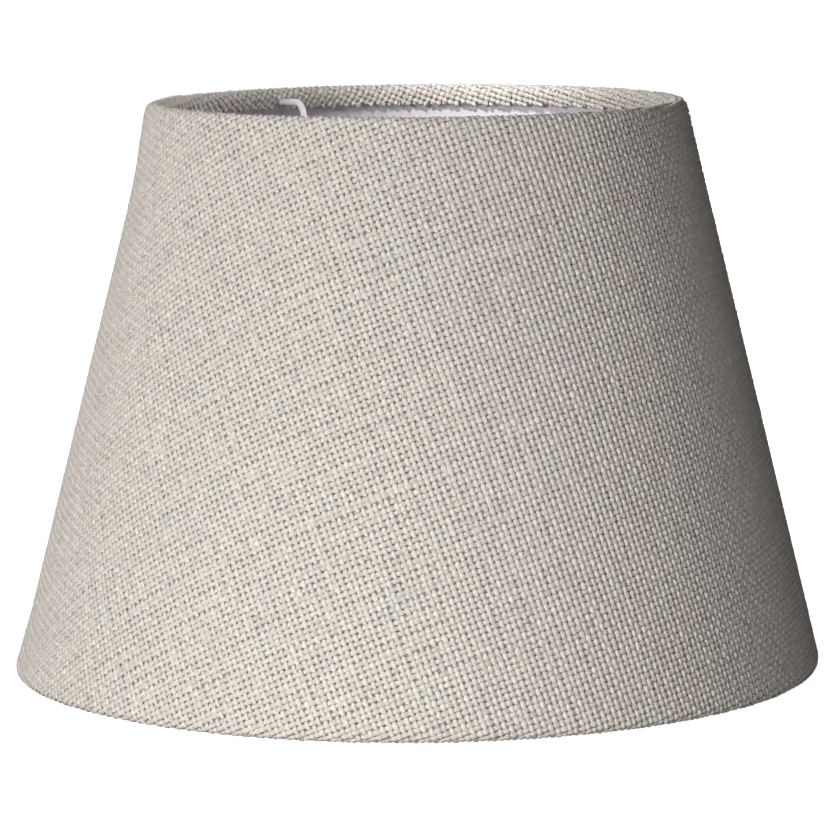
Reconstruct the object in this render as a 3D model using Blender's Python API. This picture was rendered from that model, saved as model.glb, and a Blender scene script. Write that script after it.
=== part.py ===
"""Empire lamp shade: woven cover on a plastic liner, two wire rings and a three-armed lampholder carrier.

Metres, +Z up. The origin is the centre of the bottom rim's plane, the way the shade stands on a table.
Azimuths run anticlockwise from +X. The front of the shade faces -Y.
"""
import math

import bmesh
import bpy
from mathutils import Vector

# Overall sizes, on the outside of the cloth, where the wall's line meets the rims' planes.
BOTTOM_RADIUS = 0.150
TOP_RADIUS = 0.098
HEIGHT = 0.2105
# A hand-made shade leans a little: the top rim's centre stands this far towards +X of the bottom rim's.
TOP_SHIFT = 0.0018

# Sheets and wires.
CLOTH = 0.0010
LINER = 0.0004
RING_WIRE = 0.0025
ARM_WIRE = 0.0025
CLEARANCE = 0.0003

# Hems: how deep the cloth turns in below the rim, and how far the turn-under leans on the wall.
HEM_DEPTH = 0.0066
HEM_LEAN = math.radians(10.0)

# Seam: where the cloth and the liner lap, the width of the lap, and the run over which it fades out.
SEAM_AZIMUTH = math.radians(160.0)
LAP_ANGLE = math.radians(5.0)
LAP_FADE = math.radians(10.0)
LAP_JOGGLE = 0.0040

# Lampholder carrier: a flat ring with the bore of an E27 lampholder's collar, on three bent wires.
FITTER_BORE = 0.0420
FITTER_WIDTH = 0.0560
FITTER_THICKNESS = 0.0020
FITTER_EDGE = 0.0003
FITTER_DROP = 0.0480
ARM_COUNT = 3
FIRST_ARM_AZIMUTH = math.radians(124.4)
ARM_BELOW_RIM = 0.0050
ARM_RISE = 0.0003
ARM_SHOULDER_RADIUS = 0.0804
ARM_SLOPE = math.radians(26.0)
ARM_LAP = 0.0035
ARM_BEND = 0.0045

# How finely round shapes are divided.
ROUND_STEPS = 72
WIRE_SIDES = 8
HEM_OUTER_STEPS = 2
HEM_INNER_STEPS = 3
BEND_STEPS = 5

# Worked out from the sizes above.
RING_RADIUS = RING_WIRE / 2
ARM_RADIUS = ARM_WIRE / 2
HEM_INSIDE = RING_RADIUS + CLEARANCE
HEM_OUTSIDE = HEM_INSIDE + CLOTH
WALL_TILT = math.atan2(BOTTOM_RADIUS - TOP_RADIUS, HEIGHT)
UP_THE_WALL = Vector((-math.sin(WALL_TILT), math.cos(WALL_TILT)))
OUT_OF_WALL = Vector((math.cos(WALL_TILT), math.sin(WALL_TILT)))


def hem_centre(rim_radius, rim_height, side):
    """Centre of the wire in a hem, as (radius, height): a roll that touches the rim's plane and the wall."""
    height = rim_height - side * HEM_OUTSIDE
    wall_radius = rim_radius + side * HEM_OUTSIDE * math.tan(WALL_TILT)
    return Vector((wall_radius - HEM_OUTSIDE / math.cos(WALL_TILT), height))


TOP_CENTRE = hem_centre(TOP_RADIUS, HEIGHT, 1)
BOTTOM_CENTRE = hem_centre(BOTTOM_RADIUS, 0.0, -1)


def make_material(name, colour, roughness, metallic=0.0):
    material = bpy.data.materials.new(name)
    material.use_nodes = True
    shader = material.node_tree.nodes["Principled BSDF"]
    shader.inputs["Base Color"].default_value = (*colour, 1.0)
    shader.inputs["Roughness"].default_value = roughness
    shader.inputs["Metallic"].default_value = metallic
    return material


def add_object(name, data, material):
    data.materials.append(material)
    obj = bpy.data.objects.new(name, data)
    bpy.context.scene.collection.objects.link(obj)
    return obj


def finish_mesh(name, mesh_builder, smooth_angle=35.0):
    """Turn a bmesh into a mesh with its faces outwards and its round parts smooth."""
    bmesh.ops.recalc_face_normals(mesh_builder, faces=mesh_builder.faces)
    mesh = bpy.data.meshes.new(name)
    mesh_builder.to_mesh(mesh)
    mesh_builder.free()
    mesh.shade_smooth()
    mesh.set_sharp_from_angle(angle=math.radians(smooth_angle))
    return mesh


def on_azimuth(point, azimuth):
    """Place of a (radius, height) point on an azimuth, with the shade's lean."""
    radius, height = point
    lean = TOP_SHIFT * height / HEIGHT
    return Vector((radius * math.cos(azimuth) + lean, radius * math.sin(azimuth), height))


def arc(centre, radius, start, end, steps):
    """Points on an arc in the (radius, height) plane, both ends included."""
    angles = [start + (end - start) * i / steps for i in range(steps + 1)]
    return [centre + radius * Vector((math.cos(a), math.sin(a))) for a in angles]


def hem_arc(centre, radius, side):
    """A hem's roll, from the wall over the rim to the turn-under. side is 1 at the top, -1 at the bottom."""
    wall = WALL_TILT
    rim = side * math.pi / 2
    inside = side * math.pi + WALL_TILT + side * HEM_LEAN
    first = arc(centre, radius, wall, rim, HEM_OUTER_STEPS)
    return first + arc(centre, radius, rim, inside, HEM_INNER_STEPS)[1:]


def turn_under_run(side):
    """The straight run of a turn-under, from the roll to its cut edge."""
    inside = side * math.pi + WALL_TILT + side * HEM_LEAN
    along = side * Vector((-math.sin(inside), math.cos(inside)))
    length = (HEM_DEPTH - HEM_OUTSIDE) / abs(along.y)
    return along * length


def hem_hook(centre, side):
    """Outline of a hem's section, from the wall's outer face round the cut edge to its inner face."""
    outer = hem_arc(centre, HEM_OUTSIDE, side)
    inner = hem_arc(centre, HEM_INSIDE, side)
    run = turn_under_run(side)
    return outer + [outer[-1] + run, inner[-1] + run] + inner[::-1]


def cover_section(wall_shift):
    """Outline of the cloth's section, anticlockwise. In the lap its wall stands out by wall_shift."""
    shift = wall_shift * OUT_OF_WALL
    joggle = LAP_JOGGLE * UP_THE_WALL
    top = hem_hook(TOP_CENTRE, 1)
    bottom = hem_hook(BOTTOM_CENTRE, -1)
    outer_low, inner_low = bottom[0], bottom[-1]
    outer_high, inner_high = top[0], top[-1]
    outer = [outer_low + joggle + shift, outer_high - joggle + shift]
    inner = [inner_high - joggle + shift, inner_low + joggle + shift]
    return outer + top + inner + bottom[::-1]


def sweep_faces(builder, before, after, closed=True):
    count = len(before)
    for i in range(count if closed else count - 1):
        j = (i + 1) % count
        builder.faces.new((before[i], before[j], after[j], after[i]))


def section_ring(builder, section, azimuth):
    return [builder.verts.new(on_azimuth(point, azimuth)) for point in section]


def lap_share(turned):
    """1 in the lap, fading to 0 over LAP_FADE beyond it."""
    return min(1.0, max(0.0, (LAP_ANGLE + LAP_FADE - turned) / LAP_FADE))


def turned_angles(end):
    """Angles from the seam round to end, at the shared round steps, so that neighbours' facets agree."""
    step = math.tau / ROUND_STEPS
    inner = [i * step for i in range(ROUND_STEPS) if i * step < end - step / 4]
    return sorted(set(inner + [LAP_ANGLE, end]))


def build_fabric_cover():
    """One sheet of cloth. Its start laps over its end, whose corners are notched clear of the rolled hems."""
    builder = bmesh.new()
    step_out = CLOTH + CLEARANCE
    hem_gap = CLEARANCE / TOP_CENTRE.x
    rings = []
    for turned in turned_angles(math.tau - hem_gap):
        section = cover_section(step_out * lap_share(turned))
        rings.append(section_ring(builder, section, SEAM_AZIMUTH + turned))
    for before, after in zip(rings, rings[1:]):
        sweep_faces(builder, before, after)
    builder.faces.new(rings[0])

    # The section's list runs outer wall (0, 1), top hem, inner wall (high, low), bottom hem.
    last = rings[-1]
    hook = len(hem_hook(TOP_CENTRE, 1))
    high, low = 2 + hook, 3 + hook
    builder.faces.new(last[1:high + 1])
    builder.faces.new(last[low:] + last[:1])
    root = [last[0], last[1], last[high], last[low]]
    section = cover_section(0.0)
    corners = [section[0], section[1], section[high], section[low]]
    tip = section_ring(builder, corners, SEAM_AZIMUTH + math.tau + LAP_ANGLE)
    sweep_faces(builder, root, tip)
    builder.faces.new(tip)

    cloth = make_material("natural_cloth", (0.55, 0.51, 0.46), 0.9)
    cover = add_object("fabric_cover", finish_mesh("fabric_cover", builder), cloth)
    for index in range(ARM_COUNT):
        cutter = build_slit_cutter(index)
        slit = cover.modifiers.new(f"slit_{index + 1}", "BOOLEAN")
        slit.operation = "DIFFERENCE"
        slit.solver = "EXACT"
        slit.object = cutter
    return cover


def build_slit_cutter(index):
    """Block that opens the top turn-under round one arm, from above the wire down through the cut edge."""
    half_width = ARM_RADIUS + CLEARANCE
    top = HEIGHT - ARM_BELOW_RIM + half_width
    reach = HEM_DEPTH + HEM_OUTSIDE
    back = TOP_CENTRE + (RING_RADIUS - LINER) * OUT_OF_WALL
    high_back = back + UP_THE_WALL * (top - back.y) / UP_THE_WALL.y
    low_back = high_back - UP_THE_WALL * reach
    front = Vector((-2 * HEM_OUTSIDE, 0.0))
    outline = [high_back, low_back, low_back + front, high_back + 2 * front]

    azimuth = arm_azimuth(index)
    sideways = Vector((-math.sin(azimuth), math.cos(azimuth), 0.0)) * half_width
    builder = bmesh.new()
    ends = []
    for side in (-1, 1):
        corners = [on_azimuth(point, azimuth) + side * sideways for point in outline]
        ends.append([builder.verts.new(corner) for corner in corners])
    sweep_faces(builder, ends[0], ends[1])
    builder.faces.new(ends[0])
    builder.faces.new(ends[1])
    plain = make_material(f"cutter_{index + 1}", (0.8, 0.2, 0.2), 0.5)
    cutter = add_object(f"slit_cutter_{index + 1}", finish_mesh("slit_cutter", builder), plain)
    cutter.hide_render = True
    cutter.display_type = "WIRE"
    return cutter


def build_liner():
    """Plastic panel against the inside of the cloth, between the rings. Its end laps inside its start."""
    outer = RING_RADIUS * OUT_OF_WALL
    inner = (RING_RADIUS - LINER) * OUT_OF_WALL
    low = BOTTOM_CENTRE + HEM_INSIDE * UP_THE_WALL
    high = TOP_CENTRE - HEM_INSIDE * UP_THE_WALL
    outline = [low + outer, high + outer, high + inner, low + inner]
    step_in = (LINER + CLEARANCE) * OUT_OF_WALL

    builder = bmesh.new()
    rings = []
    for turned in turned_angles(math.tau) + [math.tau + LAP_ANGLE]:
        shift = step_in * lap_share(math.tau + LAP_ANGLE - turned)
        section = [point - shift for point in outline]
        rings.append(section_ring(builder, section, SEAM_AZIMUTH + turned))
    for before, after in zip(rings, rings[1:]):
        sweep_faces(builder, before, after)
    builder.faces.new(rings[0])
    builder.faces.new(rings[-1])
    plastic = make_material("white_liner", (0.85, 0.85, 0.86), 0.45)
    return add_object("liner", finish_mesh("liner", builder), plastic)


def build_turned_ring(name, outline, material, first_azimuth=SEAM_AZIMUTH):
    """A closed section turned once round the Z axis."""
    builder = bmesh.new()
    step = math.tau / ROUND_STEPS
    rings = [section_ring(builder, outline, first_azimuth + i * step) for i in range(ROUND_STEPS)]
    for before, after in zip(rings, rings[1:] + rings[:1]):
        sweep_faces(builder, before, after)
    return add_object(name, finish_mesh(name, builder, smooth_angle=50.0), material)


def build_wire_ring(name, centre, material):
    outline = arc(centre, RING_RADIUS, 0.0, math.tau, WIRE_SIDES)[:-1]
    return build_turned_ring(name, outline, material)


def build_fitter_ring(material):
    """Flat ring with broken edges. The lampholder's collar passes its bore and clamps on its faces."""
    inner = FITTER_BORE / 2
    outer = FITTER_WIDTH / 2
    top = HEIGHT - FITTER_DROP
    bottom = top - FITTER_THICKNESS
    edge = FITTER_EDGE
    outline = [
        (inner + edge, bottom),
        (outer - edge, bottom),
        (outer, bottom + edge),
        (outer, top - edge),
        (outer - edge, top),
        (inner + edge, top),
        (inner, top - edge),
        (inner, bottom + edge),
    ]
    return build_turned_ring("fitter_ring", [Vector(point) for point in outline], material)


def arm_azimuth(index):
    return FIRST_ARM_AZIMUTH + index * math.tau / ARM_COUNT


def bend_points(before, corner, after, radius):
    """A wire's bend at a corner: an arc of the given radius, tangent to both straight runs."""
    to_before = (before - corner).normalized()
    to_after = (after - corner).normalized()
    half = to_before.angle(to_after) / 2
    bisector = (to_before + to_after).normalized()
    centre = corner + bisector * radius / math.sin(half)
    start = corner + to_before * radius / math.tan(half) - centre
    turn = math.pi - 2 * half
    side = -1.0 if start.cross(to_after) < 0 else 1.0
    points = []
    for i in range(BEND_STEPS + 1):
        angle = side * turn * i / BEND_STEPS
        cos, sin = math.cos(angle), math.sin(angle)
        points.append(centre + Vector((start.x * cos - start.y * sin, start.x * sin + start.y * cos)))
    return points


def arm_path():
    """One arm in the (radius, height) plane: in from the top ring, down a slope, in on to the fitter ring."""
    start_height = HEIGHT - ARM_BELOW_RIM
    below_ring = TOP_CENTRE.y - start_height
    beside = max(0.0, HEM_INSIDE ** 2 - max(0.0, below_ring - ARM_RADIUS) ** 2)
    start = Vector((TOP_CENTRE.x - math.sqrt(beside), start_height))
    shoulder = Vector((ARM_SHOULDER_RADIUS, start_height + ARM_RISE))
    foot_height = HEIGHT - FITTER_DROP + CLEARANCE + ARM_RADIUS
    run_in = (shoulder.y - foot_height) * math.tan(ARM_SLOPE)
    knee = Vector((shoulder.x - run_in, foot_height))
    end = Vector((FITTER_WIDTH / 2 - ARM_LAP, foot_height))
    path = [start]
    path += bend_points(start, shoulder, knee, ARM_BEND)
    path += bend_points(shoulder, knee, end, ARM_BEND)
    path.append(end)
    return path


def build_spider_arm(index, material):
    curve = bpy.data.curves.new(f"spider_arm_{index + 1}", "CURVE")
    curve.dimensions = "3D"
    curve.bevel_depth = ARM_RADIUS
    curve.bevel_resolution = 2
    curve.use_fill_caps = True
    points = [on_azimuth(point, arm_azimuth(index)) for point in arm_path()]
    spline = curve.splines.new("POLY")
    spline.points.add(len(points) - 1)
    for spline_point, place in zip(spline.points, points):
        spline_point.co = (*place, 1.0)
    spline.use_smooth = True
    return add_object(f"spider_arm_{index + 1}", curve, material)


def main():
    for obj in list(bpy.data.objects):
        bpy.data.objects.remove(obj)
    coated = make_material("white_coated_wire", (0.86, 0.86, 0.88), 0.35)
    build_fabric_cover()
    build_liner()
    build_wire_ring("top_ring", TOP_CENTRE, coated)
    build_wire_ring("bottom_ring", BOTTOM_CENTRE, coated)
    build_fitter_ring(coated)
    for index in range(ARM_COUNT):
        build_spider_arm(index, coated)


main()
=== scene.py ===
"""Looks of an empire lamp shade: real woven yarns over a plastic liner, on coated wires.

Laid out as an add-on and run as a script. Metres, +Z up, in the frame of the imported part.
Azimuths run anticlockwise from +X, and the front of the shade faces -Y.
"""
import math

import bmesh
import bpy
import numpy as np
from bpy.props import FloatProperty, IntProperty, PointerProperty, StringProperty
from mathutils import Matrix, Vector


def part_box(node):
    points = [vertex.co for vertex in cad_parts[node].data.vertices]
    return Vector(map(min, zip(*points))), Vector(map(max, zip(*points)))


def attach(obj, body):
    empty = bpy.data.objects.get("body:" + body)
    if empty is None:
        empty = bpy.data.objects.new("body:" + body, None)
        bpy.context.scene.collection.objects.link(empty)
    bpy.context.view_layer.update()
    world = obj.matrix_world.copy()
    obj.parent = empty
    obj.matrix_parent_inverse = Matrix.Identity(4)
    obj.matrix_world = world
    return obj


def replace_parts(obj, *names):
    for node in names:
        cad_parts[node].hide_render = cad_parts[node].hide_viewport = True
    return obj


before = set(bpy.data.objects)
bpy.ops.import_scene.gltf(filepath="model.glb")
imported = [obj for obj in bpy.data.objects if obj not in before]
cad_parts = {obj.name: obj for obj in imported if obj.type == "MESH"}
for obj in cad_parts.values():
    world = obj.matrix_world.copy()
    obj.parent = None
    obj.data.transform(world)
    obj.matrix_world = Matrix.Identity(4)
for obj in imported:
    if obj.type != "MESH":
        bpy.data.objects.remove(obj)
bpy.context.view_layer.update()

bl_info = {
    "name": "Woven Lamp Shade",
    "version": (1, 0, 0),
    "blender": (4, 5, 0),
    "location": "View3D > Sidebar > Lamp Shade",
    "description": "Builds the cover, liner, rims and carrier of an empire lamp shade",
    "category": "Object",
}

# Kinds of node, and the operations of maths nodes.
MATH = "ShaderNodeMath"
VECTOR_MATH = "ShaderNodeVectorMath"
MAP_RANGE = "ShaderNodeMapRange"
SEPARATE = "ShaderNodeSeparateXYZ"
COMBINE = "ShaderNodeCombineXYZ"
NOISE = "ShaderNodeTexNoise"
ADD, SUBTRACT, MULTIPLY, MULTIPLY_ADD, MINIMUM, MAXIMUM, ABSOLUTE, SCALE, GREATER_THAN = (
    {"operation": name} for name in ("ADD", "SUBTRACT", "MULTIPLY", "MULTIPLY_ADD", "MINIMUM", "MAXIMUM",
                                     "ABSOLUTE", "SCALE", "GREATER_THAN"))
MILLIMETRE = 0.001


# ---------------------------------------------------------------- sizes read from the frame

def wire_ring(node):
    """A rim wire of the frame: its centre as (radius, height), its own radius and its shift along X."""
    low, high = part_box(node)
    wire = high.z - low.z
    centre = Vector(((high.x - low.x - wire) / 2, (high.z + low.z) / 2))
    return centre, wire / 2, (high.x + low.x) / 2


TOP, WIRE_RADIUS, TOP_SHIFT = wire_ring("top_ring")
BOTTOM, _, _ = wire_ring("bottom_ring")
COVER_LOW, COVER_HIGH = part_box("fabric_cover")
HEIGHT = COVER_HIGH.z
LEAN = TOP_SHIFT / TOP.y
TILT = math.atan2(BOTTOM.x - TOP.x, TOP.y - BOTTOM.y)
SINE = math.sin(TILT)
OUT_OF_WALL = Vector((math.cos(TILT), math.sin(TILT)))
UP_THE_WALL = Vector((-math.sin(TILT), math.cos(TILT)))
ROLL_OUTSIDE = BOTTOM.y - COVER_LOW.z
CLEARANCE = 0.3 * MILLIMETRE
CLOTH_INSIDE = WIRE_RADIUS + CLEARANCE
FRONT = -math.pi / 2

# Where the cloth and the liner lap, as the frame's solids have it. LAP_STEP is how far the upper ply of
# cloth stands out over the lower one on the wall, and RIM_LAP_SHARE is what is left of that at the top rim.
SEAM_AZIMUTH = math.radians(160.0)
LAP_ANGLE = math.radians(5.0)
LAP_FADE = math.radians(10.0)
LAP_STEP = 1.4 * MILLIMETRE
RIM_LAP_SHARE = 0.3
SEAM_FAN = (SEAM_AZIMUTH - math.tau - FRONT) * SINE
HEM_DEPTH = 6.6 * MILLIMETRE
# Length of cloth, from a cut edge inwards, that the hem takes on its way over the rim.
HEM_ZONE = 12.6 * MILLIMETRE
HEM_LEAN = math.radians(10.0)

# The lampholder's carrier, and the slits that let its arms through the turn-under.
FIRST_ARM = math.radians(124.4)
ARM_COUNT = 3
ARM_LAP = 3.5 * MILLIMETRE
FITTER_BORE = 42.0 * MILLIMETRE
FITTER_EDGE = 0.5 * MILLIMETRE
SLIT_LENGTH = 3.2 * MILLIMETRE
SLIT_HALF_WIDTH = WIRE_RADIUS + 0.25 * MILLIMETRE
SHARP_ANGLE = math.radians(50.0)


# ---------------------------------------------------------------- small tools

def linear(hex_colour):
    """A hex sRGB colour as linear RGBA."""
    parts = [int(hex_colour[i:i + 2], 16) / 255 for i in (1, 3, 5)]
    scene = [c / 12.92 if c <= 0.04045 else ((c + 0.055) / 1.055) ** 2.4 for c in parts]
    return (*scene, 1.0)


def set_inputs(tree, node, links):
    """Puts a value or a link on each input that is named. A node stands for its first output."""
    for key, value in links.items():
        if isinstance(value, bpy.types.Node):
            value = value.outputs[0]
        if isinstance(value, bpy.types.NodeSocket):
            tree.links.new(value, node.inputs[key])
        else:
            node.inputs[key].default_value = value


def add_node(tree, kind, settings=None, links=None):
    """Adds a node with its settings, and with a value or a link on each input that is named."""
    node = tree.nodes.new(kind)
    for name, value in (settings or {}).items():
        setattr(node, name, value)
    set_inputs(tree, node, links or {})
    return node


def new_material(name):
    """An empty material with its shader and output, and the tree to add to."""
    material = bpy.data.materials.new(name)
    material.use_nodes = True
    tree = material.node_tree
    tree.nodes.clear()
    shader = add_node(tree, "ShaderNodeBsdfPrincipled")
    add_node(tree, "ShaderNodeOutputMaterial", None, {"Surface": shader})
    return material, tree, shader


def new_piece(name, mesh, material):
    """A finished piece: it rides on the shade's one body and takes its finish from a slot."""
    mesh.name = name
    if material.name not in mesh.materials:
        mesh.materials.clear()
        mesh.materials.append(material)
    piece = bpy.data.objects.new(name, mesh)
    bpy.context.scene.collection.objects.link(piece)
    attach(piece, "root")
    return piece


def grown(tree, inputs, base=None):
    """Runs a Geometry Nodes tree on a bare object and returns the plain mesh that it makes."""
    base = base or bpy.data.meshes.new("base")
    holder = bpy.data.objects.new("holder", base)
    bpy.context.scene.collection.objects.link(holder)
    modifier = holder.modifiers.new("grow", "NODES")
    modifier.node_group = tree
    for item in tree.interface.items_tree:
        if item.item_type == "SOCKET" and item.in_out == "INPUT" and item.name in inputs:
            modifier[item.identifier] = inputs[item.name]
    graph = bpy.context.evaluated_depsgraph_get()
    mesh = bpy.data.meshes.new_from_object(holder.evaluated_get(graph))
    holder.modifiers.remove(modifier)
    bpy.data.objects.remove(holder)
    return mesh


def new_tree(name, sockets):
    """A Geometry Nodes tree with named inputs, and its group input's sockets by name."""
    tree = bpy.data.node_groups.new(name, "GeometryNodeTree")
    for label, kind in sockets:
        tree.interface.new_socket(label, in_out="INPUT", socket_type=f"NodeSocket{kind}")
    tree.interface.new_socket("Geometry", in_out="OUTPUT", socket_type="NodeSocketGeometry")
    source = add_node(tree, "NodeGroupInput")
    given = {label: source.outputs[label] for label, _ in sockets}
    return tree, given


def end_tree(tree, geometry, material):
    """Ends a tree the way every one here ends: instances made real, then the material."""
    real = add_node(tree, "GeometryNodeRealizeInstances", None, {0: geometry})
    dressed = add_node(tree, "GeometryNodeSetMaterial", None, {0: real, "Material": material})
    add_node(tree, "NodeGroupOutput", None, {0: dressed})


def vertex_places(mesh):
    """Every vertex's place, one row each."""
    places = np.empty(len(mesh.vertices) * 3, np.float32)
    mesh.vertices.foreach_get("co", places)
    return places.reshape(-1, 3)


def bell(value, middle, width):
    """1 at the middle, falling off smoothly on both sides."""
    return np.exp(-((value - middle) / width) ** 2)


def set_by_hand(mesh, cloth):
    """Leans the mesh as the frame leans, and leaves cloth a little out of round by the seam.

    The swell is about 2 mm at most, in metres, round the azimuths given in degrees near each rim.
    """
    places = vertex_places(mesh)
    x, y, z = places.T
    if cloth:
        azimuth = np.degrees(np.arctan2(y, x)) % 360
        near_rim = np.clip((z - (HEIGHT - 0.045)) / 0.040, 0, 1) ** 2
        near_foot = np.clip((0.022 - z) / 0.022, 0, 1)
        swell = 0.0022 * bell(azimuth, 184, 16) * near_rim + 0.0016 * bell(azimuth, 196, 22) * near_foot
        radius = np.hypot(x, y)
        x, y = x * (1 + swell / radius), y * (1 + swell / radius)
    places = np.stack([x + LEAN * z, y, z], 1)
    mesh.vertices.foreach_set("co", places.astype(np.float32).ravel())
    mesh.update()
    return mesh


def arc(centre, radius, start, end, steps):
    """Points on an arc in the (radius, height) plane, both ends included."""
    angles = [start + (end - start) * i / steps for i in range(steps + 1)]
    return [centre + radius * Vector((math.cos(a), math.sin(a))) for a in angles]


def hem_run(centre, radius, side, steps=14):
    """A hem from the wall over the rim to the turn-under's cut edge. side is 1 at the top, -1 below."""
    inside = side * math.pi + TILT + side * HEM_LEAN
    run = arc(centre, radius, TILT, inside, steps)
    down = side * Vector((-math.sin(inside), math.cos(inside)))
    length = (HEM_DEPTH - ROLL_OUTSIDE) / abs(down.y)
    return run + [run[-1] + down * length * share for share in (0.5, 1.0)]


def cover_line(offset):
    """The cloth's section as one line, from the cut edge inside the top rim to the one below."""
    top = hem_run(TOP, offset, 1)
    bottom = hem_run(BOTTOM, offset, -1)
    wall = [top[0].lerp(bottom[0], i / 24) for i in range(1, 24)]
    return top[::-1] + wall + bottom


def line_length(points):
    return sum((after - before).length for before, after in zip(points, points[1:]))


def lap_reach(line, i):
    """How much of the lap's step a point of the section takes: all on the wall, little at the rim."""
    run, to_foot = line_length(line[:i + 1]), line_length(line[i:])
    rim = min(1.0, max(0.0, 2 * run / HEM_ZONE - 2))
    foot = min(1.0, max(0.0, 2 * to_foot / HEM_ZONE - 2))
    return min(RIM_LAP_SHARE + (1 - RIM_LAP_SHARE) * rim, foot)


def lap_share(turned):
    """1 in the lap, fading to 0 beyond it."""
    return min(1.0, max(0.0, (LAP_ANGLE + LAP_FADE - turned) / LAP_FADE))


def swept(name, section_at, turns, closed_round):
    """A closed mesh from one section for each angle turned from the seam."""
    builder = bmesh.new()
    rings = []
    for turned in turns:
        azimuth = SEAM_AZIMUTH + turned
        around = Vector((math.cos(azimuth), math.sin(azimuth), 0.0))
        ring = [builder.verts.new(around * radius + Vector((0, 0, height)))
                for radius, height in section_at(turned)]
        rings.append(ring)
    count = len(rings[0])
    following = rings[1:] + rings[:1] if closed_round else rings[1:]
    for before, after in zip(rings, following):
        for i in range(count):
            j = (i + 1) % count
            builder.faces.new((before[i], before[j], after[j], after[i]))
    if not closed_round:
        half = count // 2
        for ring in (rings[0], rings[-1]):
            for i in range(half - 1):
                builder.faces.new((ring[i], ring[i + 1], ring[count - 2 - i], ring[count - 1 - i]))
    bmesh.ops.recalc_face_normals(builder, faces=builder.faces)
    mesh = bpy.data.meshes.new(name)
    builder.to_mesh(mesh)
    builder.free()
    mesh.shade_smooth()
    mesh.set_sharp_from_angle(angle=SHARP_ANGLE)
    return mesh


def steps_to(end, count):
    return [end * i / count for i in range(count + 1)]


# ---------------------------------------------------------------- settings

class ShadeClothSettings(bpy.types.PropertyGroup):
    spacing: FloatProperty(
        name="Thread spacing", description="Distance between neighbouring threads, both ways",
        default=2.2 * MILLIMETRE, min=0.0005, unit="LENGTH", precision=5)
    grain: FloatProperty(
        name="Grain angle", description="How far one set of threads rises to the right at the front",
        default=math.radians(20.3), subtype="ANGLE")
    width: FloatProperty(
        name="Thread width", description="Width of a thread lying in the cloth",
        default=2.30 * MILLIMETRE, unit="LENGTH", precision=5)
    thickness: FloatProperty(
        name="Thread thickness", description="Height of a thread's flattened section",
        default=1.0 * MILLIMETRE, unit="LENGTH", precision=5)
    wave: FloatProperty(
        name="Wave", description="How far a thread rises and dips at each crossing",
        default=0.36 * MILLIMETRE, unit="LENGTH", precision=5)
    drift: FloatProperty(
        name="Drift", description="How far threads wander from their lines, in spacings", default=0.7)
    slub: FloatProperty(
        name="Slub", description="How much thicker the thickest slubs are than the thread", default=0.5)
    sectors: IntProperty(
        name="Sectors", description="Pieces that the weave is made in, round the shade", default=12)
    seed: IntProperty(name="Seed", description="Seed of the threads' irregularity", default=7)
    cream: StringProperty(
        name="Thread colour", description="Main colour of the yarn, as sRGB hex", default="#DFD8CF")
    shadow: StringProperty(
        name="Ground colour", description="Colour seen between the threads, as sRGB hex", default="#EFEAE2")


class ShadeFrameSettings(bpy.types.PropertyGroup):
    arm_drop: FloatProperty(
        name="Arm below rim", description="How far below the rim an arm's wire meets the ring",
        default=5.0 * MILLIMETRE, unit="LENGTH", precision=5)
    shoulder: FloatProperty(
        name="Shoulder radius", description="Where an arm turns down, from the shade's axis",
        default=80.4 * MILLIMETRE, unit="LENGTH", precision=5)
    slope: FloatProperty(
        name="Arm slope", description="Lean of an arm's long run from upright",
        default=math.radians(26.0), subtype="ANGLE")
    bend: FloatProperty(
        name="Bend radius", description="Radius of an arm's bends at the wire's middle",
        default=4.5 * MILLIMETRE, unit="LENGTH", precision=5)
    liner: FloatProperty(
        name="Liner thickness", description="Thickness of the plastic liner",
        default=0.4 * MILLIMETRE, unit="LENGTH", precision=5)
    coating: StringProperty(
        name="Coating colour", description="Colour of the coated wires, as sRGB hex", default="#EDEBEE")
    plastic: StringProperty(
        name="Liner colour", description="Colour of the plastic liner, as sRGB hex", default="#ECE9EF")


class ShadeStageSettings(bpy.types.PropertyGroup):
    distance: FloatProperty(
        name="Camera distance", description="Camera to the shade's axis", default=1.6118, unit="LENGTH")
    eye_height: FloatProperty(
        name="Camera height", description="Camera above the floor", default=0.3122, unit="LENGTH")
    pitch: FloatProperty(
        name="Pitch", description="Camera's downward tilt", default=math.radians(7.806), subtype="ANGLE")
    yaw: FloatProperty(
        name="Yaw", description="Camera's turn to the right", default=math.radians(0.04), subtype="ANGLE")
    roll: FloatProperty(
        name="Roll", description="Camera's roll", default=math.radians(-0.466), subtype="ANGLE")
    lens: FloatProperty(name="Lens", description="Focal length in millimetres", default=186.68)
    key: FloatProperty(name="Key", description="Power of the key light in watts", default=26.0)
    side: FloatProperty(name="Side", description="Power of the left light in watts", default=9.8)
    card: FloatProperty(
        name="Card", description="Power of the low front light in watts", default=2.4)
    back: FloatProperty(name="Back", description="Power of the light behind in watts", default=34.0)
    inside: FloatProperty(
        name="Inside", description="Power of the spot on the back inner wall in watts", default=205.0)
    wall: FloatProperty(
        name="Inner wall", description="Power of the spot on the left inner wall in watts", default=60.0)
    room: FloatProperty(name="Room", description="Strength of the room's even light", default=0.125)


# ---------------------------------------------------------------- materials

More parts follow.
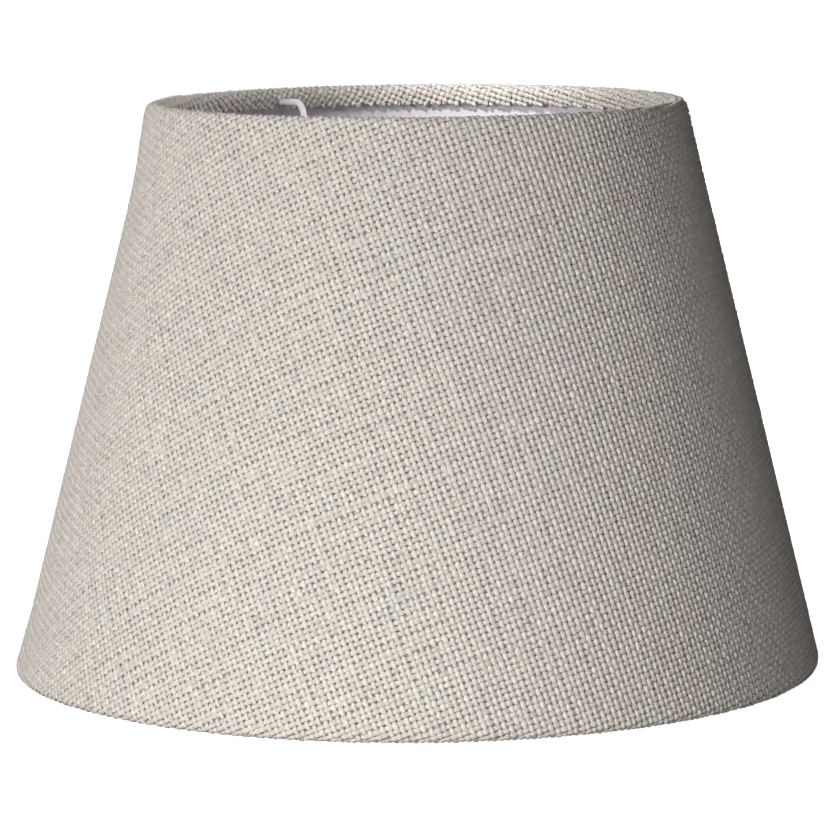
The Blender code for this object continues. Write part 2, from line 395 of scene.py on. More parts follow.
def spun_yarn(cream):
    """Linen and cotton yarn, spun and woven: matt, hairy, each thread its own shade of cream, with one set of
    threads painted paler as painted light.
    """
    material, tree, shader = new_material("linen_cotton_yarn_spun")
    place = add_node(tree, "ShaderNodeAttribute", {"attribute_name": "yarn_place"}).outputs["Vector"]
    across = add_node(tree, "ShaderNodeAttribute", {"attribute_name": "yarn_across"}).outputs["Fac"]

    # Noise is read at (along a thread, from thread to thread, from set to set).
    # Tints that run a few crossings along a thread and differ from thread to thread.
    stretched = add_node(tree, VECTOR_MATH, MULTIPLY, {0: place, 1: (0.10, 0.33, 21.7)})
    tint = add_node(tree, NOISE, None, {"Vector": stretched, "Scale": 1.0, "Detail": 2.0, "Roughness": 0.6})
    ramp = add_node(tree, "ShaderNodeValToRGB", None, {"Fac": tint})
    stops = [(0.28, "#D4D7CC"), (0.42, cream), (0.57, cream), (0.66, "#DCCFC8"), (0.78, "#D6D2D8")]
    elements = ramp.color_ramp.elements
    for position, colour in stops[1:-1]:
        elements.new(position).color = linear(colour)
    for element, (position, colour) in ((elements[0], stops[0]), (elements[-1], stops[-1])):
        element.position = position
        element.color = linear(colour)

    # Light and dark threads, and mottling where the spinning is uneven.
    single = add_node(tree, VECTOR_MATH, MULTIPLY, {0: place, 1: (0.85, 3.3, 9.1)})
    mottle = add_node(tree, NOISE, None, {"Vector": single, "Scale": 1.0, "Detail": 3.0, "Roughness": 0.7})
    shade = add_node(tree, MAP_RANGE, None, {0: mottle, 1: 0.3, 2: 0.7, 3: 0.82, 4: 1.13})

    # Fibres twisted round the thread, a fifth of its width apart.
    parts = add_node(tree, SEPARATE, None, {0: place})
    twist = add_node(tree, MATH, MULTIPLY_ADD, {0: parts.outputs[0], 1: 1.3, 2: across})
    bundle = add_node(tree, COMBINE, None, {0: twist, 1: parts.outputs[1]})
    fibres = add_node(tree, NOISE, None, {"Vector": bundle, "Scale": 5.0, "Detail": 3.0, "Roughness": 0.7})
    fine = add_node(tree, MAP_RANGE, None, {0: fibres, 1: 0.3, 2: 0.7, 3: 0.90, 4: 1.06})
    mixed = add_node(tree, MATH, MULTIPLY, {0: shade, 1: fine})
    # The thinner family is painted a shade paler than the other: painted light, standing in for the
    # difference in brightness that the light gives the two families' crowns.
    family = add_node(tree, MAP_RANGE, None, {0: parts.outputs[2], 1: 0.0, 2: 1.0, 3: 0.96, 4: 1.06})
    value = add_node(tree, MATH, MULTIPLY, {0: mixed, 1: family})
    colour = add_node(tree, VECTOR_MATH, SCALE, {0: ramp, "Scale": value})
    bump = add_node(tree, "ShaderNodeBump", None, {"Strength": 0.35, "Distance": 0.0002, "Height": fibres})
    rough = add_node(tree, MAP_RANGE, None, {0: fibres, 1: 0.2, 2: 0.8, 3: 0.72, 4: 0.92})
    set_inputs(tree, shader, {"Base Color": colour, "Normal": bump, "Roughness": rough,
                              "Specular IOR Level": 0.35, "Sheen Weight": 0.12, "Sheen Roughness": 0.5})
    return material


def two_tones(tree, clouds, start, end, darker, colour):
    """Drifts with a cloud pattern from a darker share of a colour to the colour itself."""
    ramp = add_node(tree, "ShaderNodeValToRGB", None, {"Fac": clouds})
    base = linear(colour)
    low, high = ramp.color_ramp.elements
    low.position, high.position = start, end
    low.color = tuple(darker * part for part in base[:3]) + (1.0,)
    high.color = base
    return ramp


def cloth_ground(shadow):
    """The cloth's back, seen through its gaps: flat, matt and pale, so that the gaps stay soft."""
    material, tree, shader = new_material("linen_cotton_ground_woven")
    where = add_node(tree, "ShaderNodeTexCoord").outputs["Object"]
    clouds = add_node(tree, NOISE, None, {"Vector": where, "Scale": 1 / (4 * MILLIMETRE), "Detail": 3.0})
    bump = add_node(tree, "ShaderNodeBump", None, {"Strength": 0.3, "Distance": 0.0002, "Height": clouds})
    set_inputs(tree, shader, {"Base Color": two_tones(tree, clouds, 0.3, 0.7, 0.75, shadow), "Normal": bump,
                              "Roughness": 0.9, "Specular IOR Level": 0.2})
    return material


def calendered_pvc(colour):
    """White PVC sheet, calendered: satin, with a faint orange peel and slightly uneven gloss."""
    material, tree, shader = new_material("white_pvc_sheet_calendered")
    where = add_node(tree, "ShaderNodeTexCoord").outputs["Object"]
    peel = add_node(tree, NOISE, None,
                    {"Vector": where, "Scale": 1 / (3 * MILLIMETRE), "Detail": 2.0, "Roughness": 0.4})
    clouds = add_node(tree, NOISE, None, {"Vector": where, "Scale": 1 / (45 * MILLIMETRE), "Detail": 3.0})
    rough = add_node(tree, MAP_RANGE, None, {0: clouds, 1: 0.3, 2: 0.7, 3: 0.34, 4: 0.44})
    bump = add_node(tree, "ShaderNodeBump", None, {"Strength": 0.08, "Distance": 0.0003, "Height": peel})
    set_inputs(tree, shader, {"Base Color": two_tones(tree, clouds, 0.35, 0.65, 0.95, colour),
                              "Roughness": rough, "Normal": bump, "IOR": 1.53})
    return material


def powder_coat(colour):
    """White polyester powder coat on steel: soft gloss with a fine orange peel."""
    material, tree, shader = new_material("white_powder_coated_steel")
    where = add_node(tree, "ShaderNodeTexCoord").outputs["Object"]
    peel = add_node(tree, NOISE, None,
                    {"Vector": where, "Scale": 1 / (0.9 * MILLIMETRE), "Detail": 2.0, "Roughness": 0.5})
    dust = add_node(tree, NOISE, None, {"Vector": where, "Scale": 1 / (12 * MILLIMETRE), "Detail": 4.0})
    rough = add_node(tree, MAP_RANGE, None, {0: dust, 1: 0.3, 2: 0.7, 3: 0.26, 4: 0.38})
    bump = add_node(tree, "ShaderNodeBump", None, {"Strength": 0.12, "Distance": 0.0001, "Height": peel})
    set_inputs(tree, shader, {"Base Color": two_tones(tree, dust, 0.3, 0.6, 0.93, colour),
                              "Roughness": rough, "Normal": bump, "IOR": 1.5})
    return material


# ---------------------------------------------------------------- the weave

WEAVE_INPUTS = (
    ("Profile", "Object"), ("Material", "Material"), ("Lattice Centre", "Vector"), ("Reach", "Int"),
    ("Spacing", "Float"), ("Grain", "Float"), ("Width", "Float"), ("Thickness", "Float"),
    ("Wave", "Float"), ("Drift", "Float"), ("Slub", "Float"), ("Lap Step", "Float"), ("Seed", "Int"),
    ("Middle Angle", "Float"), ("Half Angle", "Float"), ("Edge Distance", "Float"), ("Depth", "Float"),
    ("Map Scale", "Vector"), ("Map Offset", "Vector"),
)
SAMPLES_A_CROSSING = 3
# The first family's threads are thicker and lie flatter, and the second's are thinner and rise more.
FAMILY_GAUGE = (1.05, 0.95)
FAMILY_CRIMP = (0.9, 1.1)
# A thread's size between crossings and on its crowns.
BEAD = (0.88, 1.08)


def yarn_family(tree, given, grid, section, family):
    """One set of parallel threads: lines on the flat cloth, trimmed, wrapped on and given a body."""
    side = 1.0 - 2.0 * family
    where = add_node(tree, "GeometryNodeInputPosition")
    centre = add_node(tree, SEPARATE, None, {0: given["Lattice Centre"]})
    turned_x = add_node(tree, MATH, MULTIPLY, {0: centre.outputs[0], 1: -1.0})
    parts = (centre.outputs[0], centre.outputs[1]) if family == 0 else (centre.outputs[1], turned_x)
    shift = add_node(tree, COMBINE, None, {0: parts[0], 1: parts[1], 2: float(family)})
    counted = add_node(tree, VECTOR_MATH, ADD, {0: where, 1: shift})

    # Only the grid's edges along the threads stay.
    ends = add_node(tree, "GeometryNodeInputMeshEdgeVertices")
    gap = add_node(tree, VECTOR_MATH, SUBTRACT, {0: ends.outputs[2], 1: ends.outputs[3]})
    step = add_node(tree, SEPARATE, None, {0: gap})
    size = add_node(tree, MATH, ABSOLUTE, {0: step.outputs[1]})
    cross = add_node(tree, MATH, GREATER_THAN, {0: size, 1: 0.5})
    lines = add_node(tree, "GeometryNodeDeleteGeometry", {"domain": "EDGE", "mode": "EDGE_FACE"},
                     {0: grid, "Selection": cross})
    marked = add_node(tree, "GeometryNodeStoreNamedAttribute",
                      {"data_type": "FLOAT_VECTOR", "domain": "POINT"},
                      {0: lines, "Name": "yarn_place", "Value": counted})
    place = add_node(tree, "GeometryNodeInputNamedAttribute", {"data_type": "FLOAT_VECTOR"},
                     {"Name": "yarn_place"})
    along_index = add_node(tree, SEPARATE, None, {0: place})
    along, index = along_index.outputs[0], along_index.outputs[1]

    # The threads wander a little from their lines.
    seeds = add_node(tree, COMBINE, None, {0: given["Seed"], 1: given["Seed"]})
    slow = add_node(tree, VECTOR_MATH, MULTIPLY_ADD, {0: place, 1: (0.06, 5.13, 17.0), 2: seeds})
    wander = add_node(tree, NOISE, None, {"Vector": slow, "Scale": 1.0, "Detail": 1.0})
    centred = add_node(tree, MATH, SUBTRACT, {0: wander, 1: 0.5})
    drift = add_node(tree, MATH, MULTIPLY, {0: centred, 1: given["Drift"]})
    aside = add_node(tree, COMBINE, None, {1: drift})
    lattice = add_node(tree, VECTOR_MATH, MULTIPLY_ADD, {0: place, 1: (1.0, 1.0, 0.0), 2: aside})
    angle = add_node(tree, MATH, ADD, {0: given["Grain"], 1: family * math.pi / 2})
    turned = add_node(tree, "ShaderNodeVectorRotate", {"rotation_type": "Z_AXIS"},
                      {0: lattice, "Angle": angle})
    flat = add_node(tree, VECTOR_MATH, SCALE, {0: turned, "Scale": given["Spacing"]})

    # Place on the cut cloth: distance from the cone's point, and angle from the front.
    distance = add_node(tree, VECTOR_MATH, {"operation": "LENGTH"}, {0: flat}).outputs["Value"]
    flat_parts = add_node(tree, SEPARATE, None, {0: flat})
    down = add_node(tree, MATH, MULTIPLY, {0: flat_parts.outputs[1], 1: -1.0})
    fan = add_node(tree, MATH, {"operation": "ARCTAN2"}, {0: flat_parts.outputs[0], 1: down})
    off_middle = add_node(tree, MATH, SUBTRACT, {0: fan, 1: given["Middle Angle"]})
    off_size = add_node(tree, MATH, ABSOLUTE, {0: off_middle})
    past_side = add_node(tree, MATH, SUBTRACT, {0: off_size, 1: given["Half Angle"]})
    run = add_node(tree, MATH, SUBTRACT, {0: distance, 1: given["Edge Distance"]})
    past_top = add_node(tree, MATH, MULTIPLY, {0: run, 1: -1.0})
    past_foot = add_node(tree, MATH, SUBTRACT, {0: run, 1: given["Depth"]})
    past_rims = add_node(tree, MATH, MAXIMUM, {0: past_top, 1: past_foot})
    azimuth = add_node(tree, MATH, MULTIPLY_ADD, {0: fan, 1: 1 / SINE, 2: FRONT})

    # A slit in the turn-under at each arm: how far round from the nearest arm, in metres at the rim.
    from_arm = add_node(tree, MATH, SUBTRACT, {0: azimuth, 1: FIRST_ARM})
    third = math.tau / ARM_COUNT
    nearest = add_node(tree, MATH, {"operation": "WRAP"}, {0: from_arm, 1: third / 2, 2: -third / 2})
    beside = add_node(tree, MATH, ABSOLUTE, {0: nearest})
    slit_side = add_node(tree, MATH, MULTIPLY_ADD, {0: beside, 1: -TOP.x, 2: SLIT_HALF_WIDTH})
    slit_top = add_node(tree, MATH, SUBTRACT, {0: SLIT_LENGTH, 1: run})
    slit = add_node(tree, MATH, MINIMUM, {0: slit_side, 1: slit_top})
    # The tongue under the lap is notched clear of both hems.
    past_seam = add_node(tree, MATH, SUBTRACT, {0: fan, 1: SEAM_FAN + math.tau * SINE})
    to_edge = add_node(tree, MATH, MULTIPLY, {0: past_foot, 1: -1.0})
    edge_gap = add_node(tree, MATH, MINIMUM, {0: run, 1: to_edge})
    in_hem = add_node(tree, MATH, SUBTRACT, {0: 1.5 * HEM_ZONE, 1: edge_gap})
    notch = add_node(tree, MATH, MINIMUM, {0: past_seam, 1: in_hem})
    opening = add_node(tree, MATH, MAXIMUM, {0: slit, 1: notch})
    worst = add_node(tree, MATH, MAXIMUM, {0: past_side, 1: past_rims})
    gone = add_node(tree, MATH, MAXIMUM, {0: worst, 1: opening})
    out = add_node(tree, MATH, GREATER_THAN, {0: gone, 1: 0.0})
    cut = add_node(tree, "GeometryNodeDeleteGeometry", {"domain": "EDGE", "mode": "EDGE_FACE"},
                   {0: marked, "Selection": out})
    threads = add_node(tree, "GeometryNodeMeshToCurve", None, {0: cut})

    # Over one thread and under the next.
    crossing = add_node(tree, MATH, ADD, {0: along, 1: index})
    phase = add_node(tree, MATH, MULTIPLY, {0: crossing, 1: math.pi})
    swing = add_node(tree, MATH, {"operation": "COSINE"}, {0: phase})
    signed = add_node(tree, MATH, MULTIPLY, {0: swing, 1: side})
    crimp = add_node(tree, MATH, MULTIPLY, {0: given["Wave"], 1: FAMILY_CRIMP[family]})
    wave = add_node(tree, MATH, MULTIPLY, {0: signed, 1: crimp})
    lap = add_node(tree, MAP_RANGE, None, {
        0: fan, 1: SEAM_FAN + LAP_ANGLE * SINE, 2: SEAM_FAN + (LAP_ANGLE + LAP_FADE) * SINE,
        3: given["Lap Step"], 4: 0.0})
    rim_share = add_node(tree, MAP_RANGE, None, {
        0: run, 1: HEM_ZONE, 2: 1.5 * HEM_ZONE, 3: RIM_LAP_SHARE, 4: 1.0})
    to_foot = add_node(tree, MATH, SUBTRACT, {0: given["Depth"], 1: run})
    foot_share = add_node(tree, MAP_RANGE, None, {0: to_foot, 1: HEM_ZONE, 2: 1.5 * HEM_ZONE})
    share = add_node(tree, MATH, MINIMUM, {0: rim_share, 1: foot_share})
    lapped = add_node(tree, MATH, MULTIPLY_ADD, {0: lap, 1: share, 2: wave})

    profile = add_node(tree, "GeometryNodeObjectInfo", None, {"Object": given["Profile"]}).outputs["Geometry"]
    spot = add_node(tree, "GeometryNodeSampleCurve", {"mode": "LENGTH"}, {0: profile, "Length": run})
    tangent = add_node(tree, SEPARATE, None, {0: spot.outputs["Tangent"]})
    rise = add_node(tree, MATH, MULTIPLY, {0: tangent.outputs[2], 1: -1.0})
    outward = add_node(tree, COMBINE, None, {0: rise, 2: tangent.outputs[0]})
    raised = add_node(tree, VECTOR_MATH, SCALE, {0: outward, "Scale": lapped})
    lifted = add_node(tree, VECTOR_MATH, ADD, {0: spot.outputs["Position"], 1: raised})
    wrapped = add_node(tree, "ShaderNodeVectorRotate", {"rotation_type": "Z_AXIS"},
                       {0: lifted, "Angle": azimuth})
    facing = add_node(tree, "ShaderNodeVectorRotate", {"rotation_type": "Z_AXIS"},
                      {0: outward, "Angle": azimuth})
    placed = add_node(tree, "GeometryNodeSetPosition", None, {0: threads, "Position": wrapped})
    flat_side = add_node(tree, "GeometryNodeSetCurveNormal", {"mode": "FREE"},
                         {0: placed, "Normal": facing})

    # Uneven spinning, and a few thick slubs some crossings long.
    lumps = add_node(tree, VECTOR_MATH, MULTIPLY_ADD, {0: place, 1: (0.36, 7.7, 31.0), 2: seeds})
    uneven = add_node(tree, NOISE, None, {"Vector": lumps, "Scale": 1.0, "Detail": 3.0, "Roughness": 0.7})
    fat = add_node(tree, MAP_RANGE, None, {0: uneven, 1: 0.56, 2: 0.76, 3: 0.0, 4: 1.0})
    thick = add_node(tree, MATH, MULTIPLY, {0: fat, 1: given["Slub"]})
    thin = add_node(tree, MAP_RANGE, None, {0: uneven, 1: 0.25, 2: 0.56, 3: 0.78, 4: 1.0})
    bulk = add_node(tree, MATH, ADD, {0: thin, 1: thick})
    # Pressed thin between crossings, full over and under them.
    press = add_node(tree, MATH, ABSOLUTE, {0: swing})
    low, high = (size * FAMILY_GAUGE[family] for size in BEAD)
    bead = add_node(tree, MAP_RANGE, None, {0: press, 1: 0.5, 2: 1.0, 3: low, 4: high})
    gauge = add_node(tree, MATH, MULTIPLY, {0: bulk, 1: bead})
    body = add_node(tree, "GeometryNodeCurveToMesh", None, {
        0: flat_side, "Profile Curve": section, "Scale": gauge, "Fill Caps": True})

    # The bake's map: the cut cloth itself, one half of the map for each set of threads.
    across = add_node(tree, "GeometryNodeInputNamedAttribute", {"data_type": "FLOAT"},
                      {"Name": "yarn_across"})
    beside_line = add_node(tree, COMBINE, None, {1: across})
    spread = add_node(tree, VECTOR_MATH, MULTIPLY_ADD, {0: beside_line, 1: (0.0, 0.9, 0.0), 2: lattice})
    upright = add_node(tree, MATH, SUBTRACT, {0: angle, 1: given["Middle Angle"]})
    levelled = add_node(tree, "ShaderNodeVectorRotate", {"rotation_type": "Z_AXIS"},
                        {0: spread, "Angle": upright})
    sized = add_node(tree, VECTOR_MATH, SCALE, {0: levelled, "Scale": given["Spacing"]})
    half_map = add_node(tree, VECTOR_MATH, ADD, {0: given["Map Offset"], 1: (0.5 * family, 0.0, 0.0)})
    mapped = add_node(tree, VECTOR_MATH, MULTIPLY_ADD, {0: sized, 1: given["Map Scale"], 2: half_map})
    stored = add_node(tree, "GeometryNodeStoreNamedAttribute", {"data_type": "FLOAT2", "domain": "CORNER"},
                      {0: body, "Name": "OFBake", "Value": mapped})
    return stored.outputs[0]


def weave_tree():
    """The whole weave tree: a counting grid and a thread's section, shared by both sets of threads."""
    tree, given = new_tree("woven_cover", WEAVE_INPUTS)
    span = add_node(tree, MATH, MULTIPLY, {0: given["Reach"], 1: 2.0})
    lines = add_node(tree, MATH, ADD, {0: span, 1: 1.0})
    points = add_node(tree, MATH, MULTIPLY_ADD, {0: span, 1: float(SAMPLES_A_CROSSING), 2: 1.0})
    grid = add_node(tree, "GeometryNodeMeshGrid", None, {
        "Size X": span, "Size Y": span,
        "Vertices X": points, "Vertices Y": lines})

    # The section, as shares of the thread's width and thickness: broad below, rounded off above.
    outline = add_node(tree, "GeometryNodeCurvePrimitiveQuadrilateral", {"mode": "POINTS"}, {
        "Point 1": (-0.5, -0.12, 0.0), "Point 2": (0.5, -0.12, 0.0),
        "Point 3": (0.24, 0.5, 0.0), "Point 4": (-0.24, 0.5, 0.0)})
    where = add_node(tree, "GeometryNodeInputPosition")
    sideways = add_node(tree, SEPARATE, None, {0: where})
    marked = add_node(tree, "GeometryNodeStoreNamedAttribute", {"data_type": "FLOAT", "domain": "POINT"},
                      {0: outline, "Name": "yarn_across", "Value": sideways.outputs[0]})
    size = add_node(tree, COMBINE, None, {0: given["Width"], 1: given["Thickness"], 2: 1.0})
    section = add_node(tree, "GeometryNodeTransform", None, {
        0: marked, "Scale": size, "Rotation": (0.0, 0.0, -math.pi / 2)})

    families = [yarn_family(tree, given, grid, section, family) for family in (0, 1)]
    joined = add_node(tree, "GeometryNodeJoinGeometry")
    for threads in families:
        tree.links.new(threads, joined.inputs[0])
    smooth = add_node(tree, "GeometryNodeSetShadeSmooth", None, {0: joined})
    end_tree(tree, smooth, given["Material"])
    return tree


def profile_object(offset):
    """The cloth's section line as an object in the XZ plane, for the weave to follow."""
    line = cover_line(offset)
    curve = bpy.data.curves.new("cover_line", "CURVE")
    curve.dimensions = "3D"
    spline = curve.splines.new("POLY")
    spline.points.add(len(line) - 1)
    for point, (radius, height) in zip(spline.points, line):
        point.co = (radius, 0.0, height, 1.0)
    guide = bpy.data.objects.new("cover_line", curve)
    bpy.context.scene.collection.objects.link(guide)
    return guide


def flat_cloth(offset):
    """The cut cloth at an offset from the rim wires: its edges' distances from the cone's point."""
    line = cover_line(offset)
    hem = hem_run(TOP, offset, 1)
    wall_top = hem[0].x / SINE
    inner = wall_top - line_length(hem)
    return inner, line_length(line)


class LAMPSHADE_OT_weave(bpy.types.Operator):
    """Weave the cover from real threads, in sectors round the shade"""
    bl_idname = "lampshade.weave"
    bl_label = "Weave Cover"

    def execute(self, context):
        cloth = context.scene.shade_cloth
        # The threads' own middle: their lower crowns sink a little into the ground.
        middle = CLOTH_INSIDE + 0.12 * cloth.thickness + FAMILY_CRIMP[1] * cloth.wave + 0.12 * MILLIMETRE
        inner, depth = flat_cloth(middle)
        guide = profile_object(middle)
        yarn = spun_yarn(cloth.cream)
        tree = weave_tree()
        tongue = LAP_ANGLE * SINE
        share = math.tau * SINE / cloth.sectors
        for number in range(cloth.sectors):
            low = SEAM_FAN + number * share
            high = low + share + (tongue if number == cloth.sectors - 1 else 0.0)
            half = (high - low) / 2
            angle = (high + low) / 2
            reach_out = inner + depth / 2
            centre = Vector((reach_out * math.sin(angle), -reach_out * math.cos(angle)))
            lattice = centre @ Matrix.Rotation(cloth.grain, 2) / cloth.spacing
            span = math.hypot(depth / 2, (inner + depth) * math.sin(half))
            map_width = 2 * (inner + depth) * math.sin(half) + 2 * cloth.spacing
            map_height = depth + 4 * cloth.spacing
            mesh = grown(tree, {
                "Profile": guide, "Material": yarn,
                "Lattice Centre": (float(round(lattice.x)), float(round(lattice.y)), 0.0),
                "Reach": math.ceil(span / cloth.spacing) + 2,
                "Spacing": cloth.spacing, "Grain": cloth.grain, "Width": cloth.width,
                "Thickness": cloth.thickness, "Wave": cloth.wave, "Drift": cloth.drift,
                "Slub": cloth.slub, "Lap Step": LAP_STEP, "Seed": cloth.seed,
                "Middle Angle": angle, "Half Angle": half, "Edge Distance": inner, "Depth": depth,
                "Map Scale": (0.5 / map_width, 1 / map_height, 0.0),
                "Map Offset": (0.25, 0.5 + reach_out / map_height, 0.0),
            })
            if not mesh.polygons:
                raise RuntimeError("The weave came out empty.")
            new_piece(f"cover_weave_{number + 1:02d}", set_by_hand(mesh, True), yarn)
        bpy.data.objects.remove(guide)
        return {"FINISHED"}


class LAMPSHADE_OT_cloth(bpy.types.Operator):
    """Make the cloth's ground, the sheet that shows between its threads"""
    bl_idname = "lampshade.cloth"
    bl_label = "Cloth Ground"

    def execute(self, context):
        cloth = context.scene.shade_cloth
        inside = CLOTH_INSIDE - 0.15 * MILLIMETRE
        outside = CLOTH_INSIDE + 0.05 * MILLIMETRE

        faces = [(cover_line(offset), cover_line(offset + LAP_STEP)) for offset in (outside, inside)]
        shares = [lap_reach(faces[0][0], i) for i in range(len(faces[0][0]))]

        def section_at(turned):
            lap = lap_share(turned)
            lines = [[low.lerp(high, lap * share) for low, high, share in zip(at_rest, raised, shares)]
                     for at_rest, raised in faces]
            return lines[0] + lines[1][::-1]

        turns = steps_to(math.tau - CLEARANCE / TOP.x, 360)
        mesh = set_by_hand(swept("cover_cloth", section_at, turns, False), True)
        piece = new_piece("cover_cloth", mesh, cloth_ground(cloth.shadow))
        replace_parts(piece, "fabric_cover")
        return {"FINISHED"}


# ---------------------------------------------------------------- liner, rims and carrier

class LAMPSHADE_OT_liner(bpy.types.Operator):
    """Make the plastic liner, lapped at the seam"""
    bl_idname = "lampshade.liner"
    bl_label = "Liner"

    def execute(self, context):
        settings = context.scene.shade_frame
        outer = WIRE_RADIUS * OUT_OF_WALL
        inner = (WIRE_RADIUS - settings.liner) * OUT_OF_WALL
        low = BOTTOM + CLOTH_INSIDE * UP_THE_WALL
        high = TOP - CLOTH_INSIDE * UP_THE_WALL
        face = [low.lerp(high, i / 20) for i in range(21)]
        outline = [point + outer for point in face] + [point + inner for point in face[::-1]]
        step_in = (settings.liner + CLEARANCE) * OUT_OF_WALL
        whole = math.tau + LAP_ANGLE

        def section_at(turned):
            return [point - step_in * lap_share(whole - turned) for point in outline]

        mesh = set_by_hand(swept("liner_panel", section_at, steps_to(whole, 365), False), True)
        piece = new_piece("liner_panel", mesh, calendered_pvc(settings.plastic))
        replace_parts(piece, "liner")
        return {"FINISHED"}


class LAMPSHADE_OT_rims(bpy.types.Operator):
    """Make the two rim wires inside the hems"""
    bl_idname = "lampshade.rims"
    bl_label = "Rim Wires"

    def execute(self, context):
        coating = powder_coat(context.scene.shade_frame.coating)
        rims = (("rim_wire_top", "top_ring", TOP), ("rim_wire_bottom", "bottom_ring", BOTTOM))
        for name, node, centre in rims:
            outline = arc(centre, WIRE_RADIUS, 0.0, math.tau, 20)[:-1]
            turns = steps_to(math.tau, 240)[:-1]
            mesh = set_by_hand(swept(name, lambda turned: outline, turns, True), False)
            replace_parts(new_piece(name, mesh, coating), node)
        return {"FINISHED"}


def bent_wire_tree():
    """A wire bent at each point of its route, with a round section."""
    tree, given = new_tree("bent_wire", (
        ("Route", "Geometry"), ("Material", "Material"), ("Bend", "Float"), ("Radius", "Float")))
    route = add_node(tree, "GeometryNodeMeshToCurve", None, {0: given["Route"]})
    rounded = add_node(tree, "GeometryNodeFilletCurve", {"mode": "POLY"},
                       {0: route, "Radius": given["Bend"], "Count": 14})
    circle = add_node(tree, "GeometryNodeCurvePrimitiveCircle", None,
                      {"Resolution": 24, "Radius": given["Radius"]})
    wire = add_node(tree, "GeometryNodeCurveToMesh", None, {
        0: rounded, "Profile Curve": circle, "Fill Caps": True})
    smooth = add_node(tree, "GeometryNodeSetShadeSmooth", None, {0: wire})
    end_tree(tree, smooth, given["Material"])
    return tree


def arm_route(settings):
    """An arm's corners as (radius, height): ring, shoulder, knee and its end on the carrier ring."""
    low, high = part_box("spider_arm_1")
    radius = WIRE_RADIUS
    fitter_low, fitter_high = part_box("fitter_ring")
    start_height = HEIGHT - settings.arm_drop
    below = TOP.y - start_height
    beside = math.sqrt(CLOTH_INSIDE ** 2 - max(0.0, below - radius) ** 2)
    foot = low.z + radius
    shoulder = Vector((settings.shoulder, high.z - radius))
    knee = Vector((shoulder.x - (shoulder.y - foot) * math.tan(settings.slope), foot))
    end = Vector(((fitter_high.y - fitter_low.y) / 2 - ARM_LAP, foot))
    return [Vector((TOP.x - beside, start_height)), shoulder, knee, end]


class LAMPSHADE_OT_carrier(bpy.types.Operator):
    """Make the lampholder's carrier ring and its bent arms"""
    bl_idname = "lampshade.carrier"
    bl_label = "Lampholder Carrier"

    def execute(self, context):
        settings = context.scene.shade_frame
        coating = bpy.data.materials["white_powder_coated_steel"]
        tree = bent_wire_tree()
        route = arm_route(settings)
        for index in range(ARM_COUNT):
            azimuth = FIRST_ARM + index * math.tau / ARM_COUNT
            points = [(r * math.cos(azimuth), r * math.sin(azimuth), z) for r, z in route]
            base = bpy.data.meshes.new("route")
            base.from_pydata(points, [(i, i + 1) for i in range(len(points) - 1)], [])
            mesh = grown(tree, {"Material": coating, "Bend": settings.bend, "Radius": WIRE_RADIUS}, base)
            mesh.set_sharp_from_angle(angle=SHARP_ANGLE)
            piece = new_piece(f"carrier_arm_{index + 1}", set_by_hand(mesh, False), coating)
            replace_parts(piece, f"spider_arm_{index + 1}")

        low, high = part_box("fitter_ring")
        outer = (high.y - low.y) / 2
        inner = FITTER_BORE / 2
        edge = FITTER_EDGE
        outline = []
        for centre, start in (
            (Vector((outer - edge, high.z - edge)), 0.0),
            (Vector((inner + edge, high.z - edge)), math.pi / 2),
            (Vector((inner + edge, low.z + edge)), math.pi),
            (Vector((outer - edge, low.z + edge)), 1.5 * math.pi),
        ):
            outline += arc(centre, edge, start, start + math.pi / 2, 5)
        turns = steps_to(math.tau, 144)[:-1]
        mesh = set_by_hand(swept("carrier_ring", lambda turned: outline, turns, True), False)
        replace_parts(new_piece("carrier_ring", mesh, coating), "fitter_ring")
        return {"FINISHED"}


# ---------------------------------------------------------------- stage

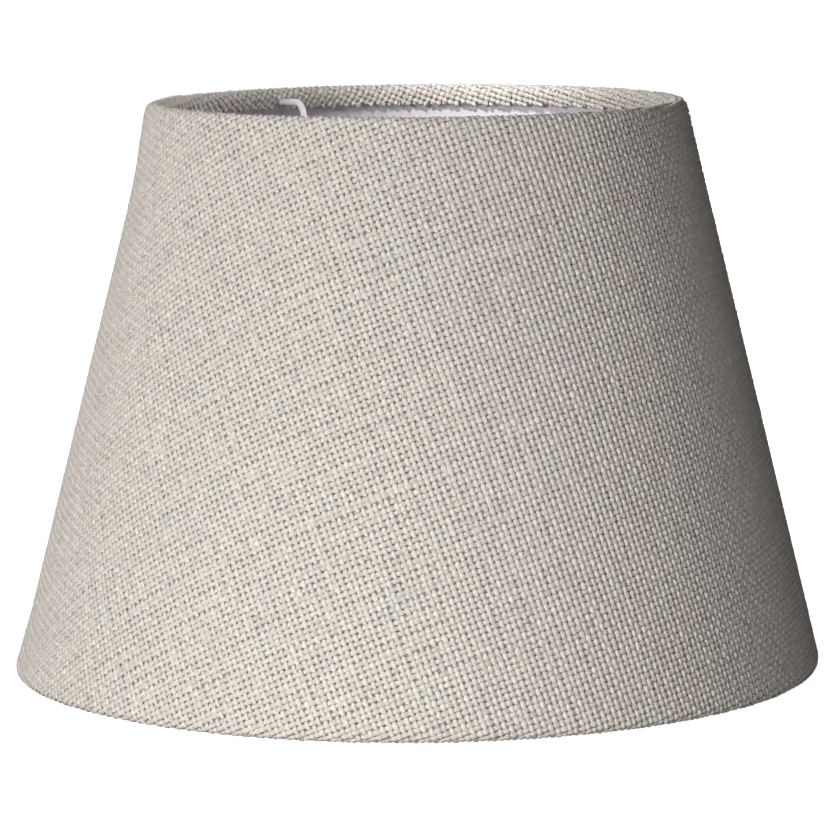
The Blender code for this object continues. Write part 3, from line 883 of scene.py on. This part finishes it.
class LAMPSHADE_OT_stage(bpy.types.Operator):
    """Set the floor, the soft lights and the camera"""
    bl_idname = "lampshade.stage"
    bl_label = "Stage"

    def execute(self, context):
        settings = context.scene.shade_stage
        scene = context.scene
        material, tree, shader = new_material("white_paper_matt")
        shader.inputs["Base Color"].default_value = linear("#F4F4F4")
        shader.inputs["Roughness"].default_value = 0.9
        shader.inputs["Emission Color"].default_value = (1.0, 1.0, 1.0, 1.0)
        shader.inputs["Emission Strength"].default_value = 0.95
        # A wide floor, just under the lowest threads. It glows to the camera and lights nothing.
        half = 8.0
        level = -0.7 * MILLIMETRE
        mesh = bpy.data.meshes.new("floor")
        corners = [(-half, -half, level), (half, -half, level), (half, half, level), (-half, half, level)]
        mesh.from_pydata(corners, [], [(0, 1, 2, 3)])
        mesh.materials.append(material)
        floor = bpy.data.objects.new("floor", mesh)
        scene.collection.objects.link(floor)
        floor.visible_diffuse = False
        floor.visible_glossy = False

        world = bpy.data.worlds.new("studio")
        world.use_nodes = True
        background = world.node_tree.nodes["Background"]
        background.inputs["Color"].default_value = (1.0, 1.0, 1.0, 1.0)
        # The room's light comes from above the floor only, so the rim's underside stays dark.
        toward = add_node(world.node_tree, "ShaderNodeTexCoord").outputs["Generated"]
        parts = add_node(world.node_tree, SEPARATE, None, {0: toward})
        above = add_node(world.node_tree, MATH, GREATER_THAN, {0: parts.outputs[2], 1: 0.0})
        strength = add_node(world.node_tree, MATH, MULTIPLY, {0: above, 1: settings.room})
        # Behind the floor's edge the backdrop is as white as the floor, and gives no light.
        seen = add_node(world.node_tree, "ShaderNodeLightPath").outputs["Is Camera Ray"]
        shown = add_node(world.node_tree, "ShaderNodeMix", {"data_type": "FLOAT"},
                         {0: seen, 2: strength, 3: 1.0})
        world.node_tree.links.new(shown.outputs[0], background.inputs["Strength"])
        scene.world = world

        middle = Vector((0.0, 0.0, HEIGHT / 2))
        back_wall = Vector((0.016, 0.031, HEIGHT))
        left_wall = Vector((-0.050, 0.020, HEIGHT))
        # Each light's kind, what it is aimed at, its azimuth and rise in degrees, its distance, the width of
        # its disk or of its beam where it is aimed, and its power.
        for name, kind, aim, azimuth, rise, reach, width, power in (
            ("key_light", "AREA", middle, -130, 12, 2.5, 0.9, settings.key),
            ("side_light", "AREA", middle, -168, 18, 2.3, 1.2, settings.side),
            ("card_light", "AREA", middle, -95, -7, 0.62, 0.5, settings.card),
            ("back_light", "AREA", middle, 98, 16, 2.5, 1.2, settings.back),
            ("inside_light", "SPOT", back_wall, -98, 38, 2.0, 0.11, settings.inside),
            ("wall_light", "SPOT", left_wall, -35, 42, 2.0, 0.12, settings.wall),
        ):
            bearing, rise = math.radians(azimuth), math.radians(rise)
            level_reach = reach * math.cos(rise)
            place = aim + Vector((level_reach * math.cos(bearing), level_reach * math.sin(bearing),
                                  reach * math.sin(rise)))
            light = bpy.data.lights.new(name, kind)
            if kind == "AREA":
                light.shape = "DISK"
                light.size = width
            else:
                light.spot_size = width / reach
                light.spot_blend = 0.45
                light.shadow_soft_size = 0.03
            light.energy = power
            lamp = bpy.data.objects.new(name, light)
            lamp.location = place
            lamp.visible_camera = False
            lamp.rotation_euler = (aim - place).to_track_quat("-Z", "Y").to_euler()
            scene.collection.objects.link(lamp)

        camera_data = bpy.data.cameras.new("camera")
        camera_data.lens = settings.lens
        camera_data.sensor_width = 36.0
        camera = bpy.data.objects.new("camera", camera_data)
        turn = (Matrix.Rotation(-settings.yaw, 4, "Z") @ Matrix.Rotation(math.pi / 2 - settings.pitch, 4, "X")
                @ Matrix.Rotation(settings.roll, 4, "Z"))
        camera.matrix_world = Matrix.Translation((0.0, -settings.distance, settings.eye_height)) @ turn
        scene.collection.objects.link(camera)
        scene.camera = camera
        scene.view_settings.view_transform = "Standard"
        return {"FINISHED"}


class LAMPSHADE_PT_panel(bpy.types.Panel):
    """Lists the settings and the steps that build the shade"""
    bl_idname = "LAMPSHADE_PT_panel"
    bl_label = "Lamp Shade"
    bl_space_type = "VIEW_3D"
    bl_region_type = "UI"
    bl_category = "Lamp Shade"

    def draw(self, context):
        for name in SETTINGS:
            group = getattr(context.scene, name)
            box = self.layout.box()
            for prop in group.bl_rna.properties:
                if prop.identifier not in {"rna_type", "name"}:
                    box.prop(group, prop.identifier)
        for operator in OPERATORS:
            self.layout.operator(operator.bl_idname)


SETTINGS = {
    "shade_cloth": ShadeClothSettings,
    "shade_frame": ShadeFrameSettings,
    "shade_stage": ShadeStageSettings,
}
OPERATORS = (
    LAMPSHADE_OT_rims,
    LAMPSHADE_OT_liner,
    LAMPSHADE_OT_weave,
    LAMPSHADE_OT_cloth,
    LAMPSHADE_OT_carrier,
    LAMPSHADE_OT_stage,
)
CLASSES = (*SETTINGS.values(), *OPERATORS, LAMPSHADE_PT_panel)


def register():
    for cls in CLASSES:
        bpy.utils.register_class(cls)
    for name, cls in SETTINGS.items():
        setattr(bpy.types.Scene, name, PointerProperty(type=cls))


def unregister():
    for name in SETTINGS:
        delattr(bpy.types.Scene, name)
    for cls in reversed(CLASSES):
        bpy.utils.unregister_class(cls)


def main():
    register()
    for operator in OPERATORS:
        group, name = operator.bl_idname.split(".")
        getattr(getattr(bpy.ops, group), name)()


if __name__ == "__main__":
    main()
